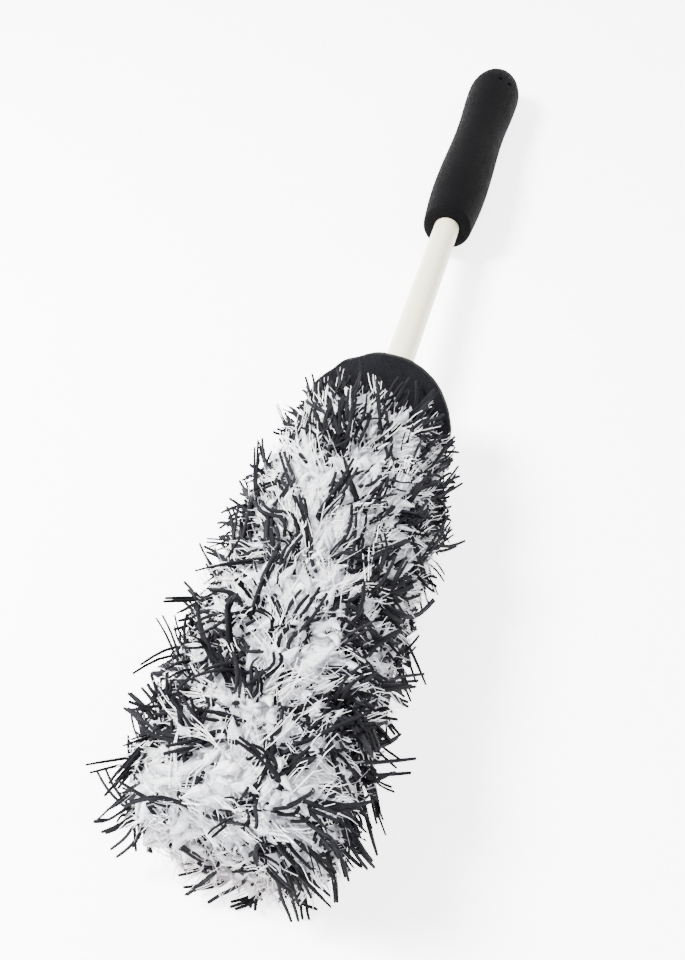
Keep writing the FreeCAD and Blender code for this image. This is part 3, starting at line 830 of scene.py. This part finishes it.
strandTree = buildStrandTree()
whereTheHeadIs = {
    "Tip Point": tuple(onBrush(head["tip"], 0, 0)),
    "Gripward": tuple(-tipward),
    "Head Length": head["tip"] - head["neck"],
    "Guard Point": tuple(pivot),
    "Guard Facing": tuple(facing),
    "Guard Radius": guard["radius"],
    "Guard Gap": guard["thickness"] / 2 + 0.0014,
    "Floor Height": 0.0002,
}
pileLayers = {
    "pile_locks": {
        "Density": 88000.0, "Seed": 3, "Length": 0.0088, "Length Spread": 0.3, "Thickness": 0.0048,
        "Flatness": 0.5, "Bulge": 1.0, "Sink": 0.001, "Lift": 0.26, "Sideways": 0.6,
        "Back At Neck": 0.8, "Back At Tip": 0.15, "Disorder": 0.6, "Clumping": 0.5, "Curl": 0.5,
        "Droop": 0.0, "Patchiness": 0.0, "Segments": 5, "Sides": 6, "Hug": 0.5,
        "Material": lockWhite,
    },
    "pile_tufts": {
        "Density": 88000.0, "Seed": 31, "Length": 0.0075, "Length Spread": 0.35,
        "Thickness": 0.0038, "Flatness": 0.55, "Bulge": 1.0, "Sink": 0.0004, "Lift": 0.35,
        "Sideways": 0.6, "Back At Neck": 0.8, "Back At Tip": 0.15, "Disorder": 0.8, "Clumping": 0.5,
        "Curl": 0.7, "Droop": 0.0, "Patchiness": 0.0, "Segments": 5, "Sides": 6, "Hug": 0.5,
        "Material": lockWhite,
    },
    "pile_strands": {
        "Density": 49000.0, "Seed": 8, "Length": 0.0146, "Length Spread": 0.25, "Thickness": 0.0014,
        "Flatness": 0.8, "Taper": 0.3, "Sink": -0.0026, "Lift": 0.28, "Sideways": 0.8,
        "Back At Neck": 1.0, "Back At Tip": 0.05, "Disorder": 0.28, "Clumping": 0.85,
        "Clump Scale": 85.0, "Curl": 0.65, "Droop": 0.0, "Centre Share": 0.55, "Tip Share": 0.6,
        "Patchiness": 0.7, "Patch Scale": 95.0, "Segments": 8, "Sides": 5, "Hug": 0.5,
        "Material": strandBlack, "Cluster": 3, "Cluster Width": 0.0019,
    },
    "pile_curls": {
        "Density": 67000.0, "Seed": 77, "Length": 0.0125, "Length Spread": 0.25,
        "Thickness": 0.0013, "Flatness": 0.8, "Taper": 0.3, "Sink": -0.003, "Lift": 0.3,
        "Sideways": 0.6, "Back At Neck": 0.9, "Back At Tip": 0.1, "Disorder": 0.45, "Clumping": 0.9,
        "Clump Scale": 85.0, "Curl": 1.25, "Droop": 0.0, "Centre Share": 0.65, "Tip Share": 0.8,
        "Patchiness": 0.75, "Patch Scale": 95.0, "Segments": 8, "Sides": 5, "Hug": 0.5,
        "Material": strandBlack, "Cluster": 2, "Cluster Width": 0.0018,
    },
    "pile_filaments": {
        "Density": 62000.0, "Seed": 15, "Length": 0.0135, "Length Spread": 0.3,
        "Thickness": 0.00036, "Flatness": 1.0, "Taper": 0.4, "Sink": -0.0024, "Lift": 0.34,
        "Sideways": 0.75, "Back At Neck": 1.0, "Back At Tip": 0.05, "Disorder": 0.4,
        "Clumping": 0.8, "Clump Scale": 85.0, "Curl": 0.35, "Droop": 0.0, "Centre Share": 0.8,
        "Patchiness": 0.5, "Patch Scale": 95.0, "Segments": 4, "Sides": 3, "Hug": 0.5,
        "Material": filamentWhite, "Cluster": 4, "Cluster Width": 0.0022,
    },
    "pile_fuzz": {
        "Density": 320000.0, "Seed": 21, "Length": 0.0062, "Length Spread": 0.35,
        "Thickness": 0.00022, "Flatness": 1.0, "Taper": 0.5, "Sink": -0.0003, "Lift": 0.4,
        "Sideways": 0.5, "Back At Neck": 0.6, "Back At Tip": 0.1, "Disorder": 0.9, "Clumping": 0.5,
        "Curl": 1.1, "Droop": 0.0, "Patchiness": 0.0, "Segments": 3, "Sides": 3, "Hug": 0.7,
        "Material": fuzzWhite,
    },
    "pile_down": {
        "Density": 320000.0, "Seed": 45, "Length": 0.0046, "Length Spread": 0.35,
        "Thickness": 0.0002, "Flatness": 1.0, "Taper": 0.5, "Sink": 0.0, "Lift": 0.6,
        "Sideways": 0.5, "Back At Neck": 0.6, "Back At Tip": 0.1, "Disorder": 1.1, "Clumping": 0.5,
        "Curl": 1.3, "Droop": 0.0, "Patchiness": 0.0, "Segments": 3, "Sides": 3, "Hug": 0.7,
        "Material": fuzzWhite,
    },
}


def growLayer(name, layer):
    piece = runTree(name, strandTree, fleeceSkin, {**whereTheHeadIs, **layer})
    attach(piece, "cover")
    triangles = sum(len(face.vertices) - 2 for face in piece.data.polygons)
    print("stage: grown", name, triangles, "triangles")


for layerName, layer in pileLayers.items():
    growLayer(layerName, layer)

fleece = linkPiece("pile_fleece", fleeceSkin.copy(), fleeceDeep)
fleece.data.name = "pile_fleece"
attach(fleece, "cover")
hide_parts("cover_pile")


# the foam core with its tip pad, seen when the cover is pulled off

core = dict(
    radius=0.019, start=0.019, end=0.151, edge=0.0008, faceRing=0.012, rodGap=0.00005,
    capRadius=0.00865, capDepth=0.0112,
    padGap=0.0001, padRing=0.01, padEnd=0.1627, padRound=0.0115,
    poreInset=0.00012, poreDepth=0.00022, poreScale=420.0,
)


def poreSurface(point, along, radius, angle):
    if radius < core["faceRing"]:
        return point
    outward = upward * math.cos(angle) + sideways * math.sin(angle)
    pore = abs(noise.noise(point * core["poreScale"])) * core["poreDepth"]
    return point - outward * (core["poreInset"] + pore)


def coreOutline():
    # out along the grip end face, down the side, and back in to the rod
    start, end, radius, edge = (core[name] for name in ("start", "end", "radius", "edge"))
    bore = rod["radius"] + core["rodGap"]
    capFloor = end - core["capDepth"]
    outline = [(start, bore), (start, core["faceRing"]), (start, radius - edge)]
    outline += arcPoints(start + edge, radius - edge, edge, math.pi, math.pi / 2, 5)
    steps = 130
    for step in range(1, steps):
        outline.append((start + edge + (end - start - edge) * step / steps, radius))
    outline += [(end, radius), (end, core["faceRing"]), (end, core["capRadius"])]
    outline += [(capFloor, core["capRadius"]), (capFloor, bore)]
    return outline


def padOutline():
    # the closed end face against the core, the rounded edge, and the flat tip
    start, end = core["end"] + core["padGap"], core["padEnd"]
    radius, roundOff = core["radius"], core["padRound"]
    outline = [(start, 1e-5), (start, core["padRing"]), (start, radius)]
    outline += arcPoints(end - roundOff, radius - roundOff, roundOff, math.pi / 2, 0.0, 24)[1:]
    return outline + flatEnd(end, radius - roundOff, 6)


corePiece = turnedPiece("core_foam", coreOutline(), 160, coreFoam, poreSurface)
padPiece = turnedPiece("core_tip_pad", padOutline(), 160, coreFoam, poreSurface)
for piece, node in ((corePiece, "foam_core"), (padPiece, "tip_pad")):
    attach(piece, "handle")
    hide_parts(node)
print("stage: foam core")


# the knitted backing, its end panel, and the gathered hem over the elastic

knit = dict(outer=0.0205, inner=0.0193, start=0.0184, end=0.15, course=0.0011, wales=116, relief=0.00022)
endPanel = dict(start=0.1503, outerFlat=0.16405, innerFlat=0.1630, turnIn=0.0121)


def knitSurface(point, along, radius, angle):
    # rows of loops: two leaning threads to a wale, stepped by the courses
    outward = upward * math.cos(angle) + sideways * math.sin(angle)
    row = math.sin(2 * math.pi * along / knit["course"])
    wale = math.cos(knit["wales"] * angle)
    return point - outward * knit["relief"] * (0.5 - 0.3 * wale - 0.2 * row)


def backingOutline():
    outline = [(knit["end"], knit["inner"]), (knit["start"], knit["inner"])]
    steps = 150
    for step in range(steps + 1):
        outline.append((knit["start"] + (knit["end"] - knit["start"]) * step / steps, knit["outer"]))
    return outline


def panelOutline():
    # a domed disc of the same cloth, closed over the tip pad
    turnIn = endPanel["turnIn"]
    sides = []
    for size, flat in ((knit["outer"], endPanel["outerFlat"]), (knit["inner"], endPanel["innerFlat"])):
        side = [(endPanel["start"], size)]
        side += arcPoints(flat - turnIn, size - turnIn, turnIn, math.pi / 2, 0.0, 20)
        sides.append(side + flatEnd(flat, size - turnIn, 5))
    return sides[0] + list(reversed(sides[1]))


backing = turnedPiece("backing_cloth", backingOutline(), 348, knitWhite, knitSurface)
panel = turnedPiece("backing_end", panelOutline(), 160, knitWhite)
for piece, node, flat, area in (
    (backing, "cover_backing", (0.127, 0.1316), None),
    (panel, "cover_end_panel", (0.058, 0.058), 0.00256),
):
    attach(piece, "cover")
    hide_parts(node)

hem = dict(
    thickness=0.0006, elasticAlong=0.011, elasticRadius=0.0082, wrap=0.0015,
    pleats=26, pleatDepth=0.00045, pleatFrom=0.0199, pleatRun=0.009,
)


def ribbonOutline(line, thickness):
    # a closed strip of the given thickness along a line of (along, radius) points
    sides = ([], [])
    for index, (along, radius) in enumerate(line):
        before = line[max(index - 1, 0)]
        after = line[min(index + 1, len(line) - 1)]
        run = Vector((after[0] - before[0], after[1] - before[1])).normalized()
        for side, sign in zip(sides, (1, -1)):
            side.append((along - run.y * sign * thickness / 2, radius + run.x * sign * thickness / 2))
    return sides[0] + list(reversed(sides[1]))


def hemLine():
    # in from the backing's edge, then once round the elastic
    line = [(0.0180, 0.0199), (0.0172, 0.0190), (0.0162, 0.0177), (0.0151, 0.0162), (0.0141, 0.0146)]
    line += [(0.0133, 0.0130), (0.0128, 0.0114), (0.0126, 0.0100)]
    line += arcPoints(
        hem["elasticAlong"], hem["elasticRadius"], hem["wrap"], math.radians(25), math.radians(325), 22
    )
    return line


def gatheredSurface(point, along, radius, angle):
    # pleats that deepen towards the elastic
    deep = min(1.0, max(0.0, (hem["pleatFrom"] - radius) / hem["pleatRun"]))
    turn = hem["pleats"] * angle + 0.8 * math.sin(3 * angle)
    return point - tipward * hem["pleatDepth"] * deep * (1 + math.cos(turn)) / 2


hemPiece = turnedPiece(
    "hem_cloth", ribbonOutline(hemLine(), hem["thickness"]), 312, knitWhite, gatheredSurface
)
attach(hemPiece, "cover")
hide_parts("neck_hem")
print("stage: knitted backing and hem")


# the guard disc


def rimWander(angle):
    # slow and quick unevenness all round, and a worn, notched stretch at the upper left
    spot = (math.cos(angle), math.sin(angle))
    slow = noise.noise(Vector((*spot, 0.3)) * 2.2) * guard["slowWander"]
    quick = noise.noise(Vector((*spot, 5.1)) * 9.0) * guard["quickWander"]
    upperLeft = max(0.0, math.cos(angle + 0.65)) ** 4
    return slow + quick - upperLeft * (guard["wornDepth"] + guard["wornNotch"] * math.sin(13 * angle))


def makeGuardDisc():
    # die-cut foam: a slightly uneven outline, softly broken edges, and a waisted hole
    radius, half, edge = guard["radius"], guard["thickness"] / 2, guard["edge"]
    flatTo, rimBand = radius * 0.6, radius * 0.4
    outline = [
        (guard["holeWaist"], 0.0), (guard["holeFace"], -half), (flatTo, -half), (radius - edge, -half),
        (radius, -half + edge), (radius, half - edge), (radius - edge, half), (flatTo, half),
        (guard["holeFace"], half),
    ]
    around = 192
    verts = []
    for distance, along in outline:
        far = max(0.0, (distance - flatTo) / rimBand)
        for step in range(around):
            angle = 2 * math.pi * step / around
            spoke = upwardInDisc * math.cos(angle) + sideways * math.sin(angle)
            verts.append(pivot + spoke * (distance + rimWander(angle) * far) + facing * along)
    mesh = bpy.data.meshes.new("guard_foam")
    mesh.from_pydata(verts, [], ringFaces(len(outline), around, flipped=True))
    faceOutwards(mesh)
    return mesh


upwardInDisc = sideways.cross(facing).normalized() * -1
if upwardInDisc.z < 0:
    upwardInDisc.negate()
guardPiece = linkPiece("guard_foam", makeGuardDisc(), guardFoam)
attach(guardPiece, "guard")
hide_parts("guard_disc")


# finishes on the pieces that the frame already shapes


def finishNode(name, material):
    piece = frame["nodes"][name]
    piece.data.materials.clear()
    piece.data.materials.append(material)


finishNode("shaft_rod", rodPlastic)
finishNode("grip_sleeve", gripRubber)
finishNode("rod_end_cap", capPlastic)
finishNode("neck_elastic", elasticCord)
print("stage: pieces finished")


# floor, light and camera


def makeFloor():
    mesh = bpy.data.meshes.new("floor")
    reach = 3.0
    corners = [(-reach, -reach, 0), (reach, -reach, 0), (reach, reach, 0), (-reach, reach, 0)]
    mesh.from_pydata(corners, [], [(0, 1, 2, 3)])
    floor = bpy.data.objects.new("floor", mesh)
    bpy.context.scene.collection.objects.link(floor)
    material, tree, shader = newMaterial("paleFloor")
    setShader(
        shader,
        {
            "Base Color": (0.93, 0.925, 0.935, 1),
            "Roughness": 0.9,
            "Specular IOR Level": 0.1,
            "Emission Color": (1.0, 0.99, 1.0, 1),
            "Emission Strength": 3.6,
        },
    )
    mesh.materials.append(material)


def makeLamp(name, place, aim, size, power, colour):
    light = bpy.data.lights.new(name, "AREA")
    light.shape = "DISK"
    light.size = size
    light.energy = power
    light.color = colour
    lamp = bpy.data.objects.new(name, light)
    lamp.location = place
    lamp.rotation_euler = (Vector(aim) - Vector(place)).to_track_quat("-Z", "Y").to_euler()
    bpy.context.scene.collection.objects.link(lamp)


def makeCamera():
    view = dict(place=(0.06244, -0.33949, 0.32553), turn=14.926, dip=48.769, lens=41.25)
    camera = bpy.data.objects.new("camera", bpy.data.cameras.new("camera"))
    camera.data.lens = view["lens"]
    camera.data.sensor_width = 36
    camera.data.clip_start = 0.01
    camera.location = view["place"]
    camera.rotation_euler = (math.radians(90 - view["dip"]), 0, math.radians(view["turn"]))
    bpy.context.scene.collection.objects.link(camera)
    bpy.context.scene.camera = camera


def makeWorld():
    world = bpy.data.worlds.new("studio")
    world.use_nodes = True
    background = world.node_tree.nodes["Background"]
    background.inputs["Color"].default_value = (0.95, 0.96, 1.0, 1)
    background.inputs["Strength"].default_value = 1.95
    bpy.context.scene.world = world


makeFloor()
makeLamp("key", (-0.55, -0.25, 0.75), (0, -0.1, 0.02), 0.3, 58.0, (1.0, 0.985, 0.96))
makeLamp("fill", (0.7, -0.5, 0.6), (0, -0.1, 0.02), 0.8, 2.5, (1.0, 0.95, 0.93))
makeLamp("back", (0.1, 0.8, 0.7), (0, 0.0, 0.02), 0.6, 3.0, (0.96, 0.98, 1.0))
makeWorld()
makeCamera()
print("stage: floor, light and camera")
